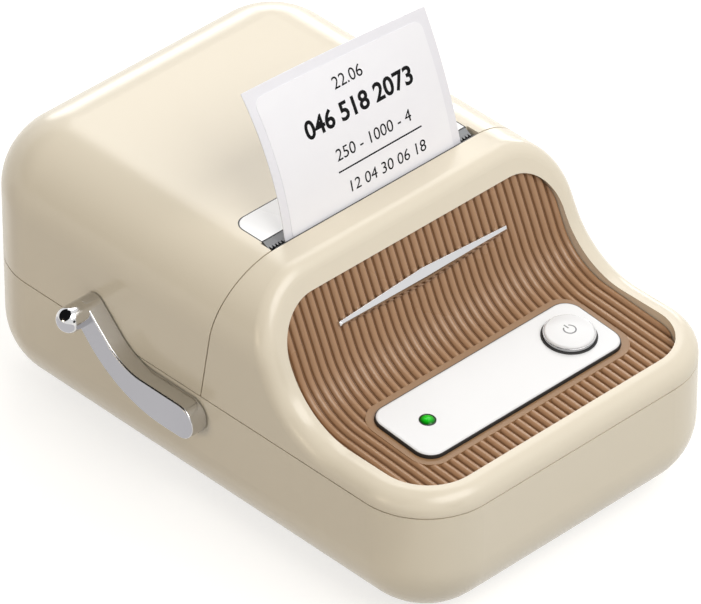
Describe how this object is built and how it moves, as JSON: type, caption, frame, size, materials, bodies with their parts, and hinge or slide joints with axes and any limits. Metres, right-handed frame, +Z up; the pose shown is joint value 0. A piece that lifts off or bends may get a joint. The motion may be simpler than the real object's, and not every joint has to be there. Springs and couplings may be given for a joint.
{
  "type": "label printer",
  "caption": "Compact retro label printer: rounded cream shell, fluted brown front with a white control plate and button, hinged roll lid, tear bar and chrome side lever.",
  "frame": {"origin": "middle of the part in plan, on the plane that the foot ring stands on", "axes": "+Z up, -Y to the front with the fluted panel and controls, +X to the right seen from the front; the lever is on the -X side"},
  "size_m": [0.0955, 0.134, 0.0898],
  "materials": {
    "cream_shell": "satin moulded cream",
    "brown_reed": "satin brown with a faint grain",
    "white_gloss": "gloss white",
    "bright_chrome": "polished plating",
    "steel": "plain bright steel",
    "black_rubber": "matt black",
    "label_paper": "smooth coated white",
    "core_board": "plain wound board",
    "green_lens": "lit green",
    "grey_plastic": "moulded grey",
    "board_green": "coated laminate",
    "dark_plastic": "matt black",
    "led_white": "clear",
    "bush_brass": "turned",
    "head_aluminium": "plain"
  },
  "bodies": {
    "case": {"lower_case": "cream_shell", "front_cover": "cream_shell", "grille_panel": "brown_reed", "control_plate": "white_gloss", "status_lens": "green_lens", "trim_bar": "bright_chrome", "foot_ring": "black_rubber", "mech_frame": "steel", "print_head": "head_aluminium", "drive_motor": "steel", "main_board": "board_green", "usb_socket": "steel", "button_switch": "dark_plastic", "status_led": "led_white", "battery_pack": "dark_plastic", "guide_rod_front": "steel", "guide_rod_back": "steel", "label_liner": "label_paper", "label_face": "label_paper", "hinge_pin": "steel", "case_screw_1": "steel", "case_screw_2": "steel", "case_screw_3": "steel", "case_screw_4": "steel"},
    "lid": {"rear_lid": "cream_shell", "tear_plate": "white_gloss", "tear_blade": "steel", "platen_bush_left": "bush_brass", "platen_bush_right": "bush_brass", "strike_pin_left": "steel", "strike_pin_right": "steel"},
    "platen": {"platen_shaft": "steel", "platen_sleeve": "black_rubber", "platen_gear": "grey_plastic"},
    "idler": {"idler_gear": "grey_plastic"},
    "pinion": {"motor_pinion": "grey_plastic"},
    "button": {"power_button": "white_gloss", "button_ring": "bright_chrome"},
    "lever": {"lever_arm": "bright_chrome", "lever_knob": "bright_chrome", "lever_shaft": "steel", "latch_hook_left": "grey_plastic", "latch_hook_right": "grey_plastic"},
    "roll": {"label_roll": "label_paper", "roll_core": "core_board"},
    "guide_right": {"guide_right": "grey_plastic"},
    "guide_left": {"guide_left": "grey_plastic"}
  },
  "joints": [
    {"name": "lid_hinge", "type": "hinge", "parent": "case", "child": "lid", "pos_m": [0, 0.066, 0.0298], "axis": [-1, 0, 0], "range_deg": [0, 95]},
    {"name": "lever_turn", "type": "hinge", "parent": "case", "child": "lever", "pos_m": [0, -0.0008, 0.0249], "axis": [-1, 0, 0], "range_deg": [0, 32], "stiffness_Nm_per_rad": 0.05, "springref_deg": -28.65},
    {"name": "button_press", "type": "slide", "parent": "case", "child": "button", "axis": [0, 0.0785, -0.9969], "range_m": [0, 0.0004], "stiffness_N_per_m": 600, "springref_m": -0.0006},
    {"name": "roll_spin", "type": "hinge", "parent": "case", "child": "roll", "pos_m": [0, 0.031, 0.032], "axis": [-1, 0, 0], "continuous": true},
    {"name": "platen_spin", "type": "hinge", "parent": "lid", "child": "platen", "pos_m": [0, -0.00616, 0.05194], "axis": [-1, 0, 0], "continuous": true},
    {"name": "idler_spin", "type": "hinge", "parent": "case", "child": "idler", "pos_m": [0, -0.0091, 0.04238], "axis": [-1, 0, 0], "continuous": true},
    {"name": "pinion_spin", "type": "hinge", "parent": "case", "child": "pinion", "pos_m": [0, -0.0091, 0.03238], "axis": [-1, 0, 0], "continuous": true},
    {"name": "guide_right_slide", "type": "slide", "parent": "case", "child": "guide_right", "axis": [1, 0, 0], "range_m": [0, 0.005]},
    {"name": "guide_left_slide", "type": "slide", "parent": "case", "child": "guide_left", "axis": [-1, 0, 0], "range_m": [0, 0.005]}
  ],
  "couplings": [
    {"joint": "platen_spin", "follows": "roll_spin", "ratio": 5},
    {"joint": "idler_spin", "follows": "roll_spin", "ratio": -3.3333},
    {"joint": "pinion_spin", "follows": "roll_spin", "ratio": 5},
    {"joint": "guide_left_slide", "follows": "guide_right_slide", "ratio": 1}
  ]
}
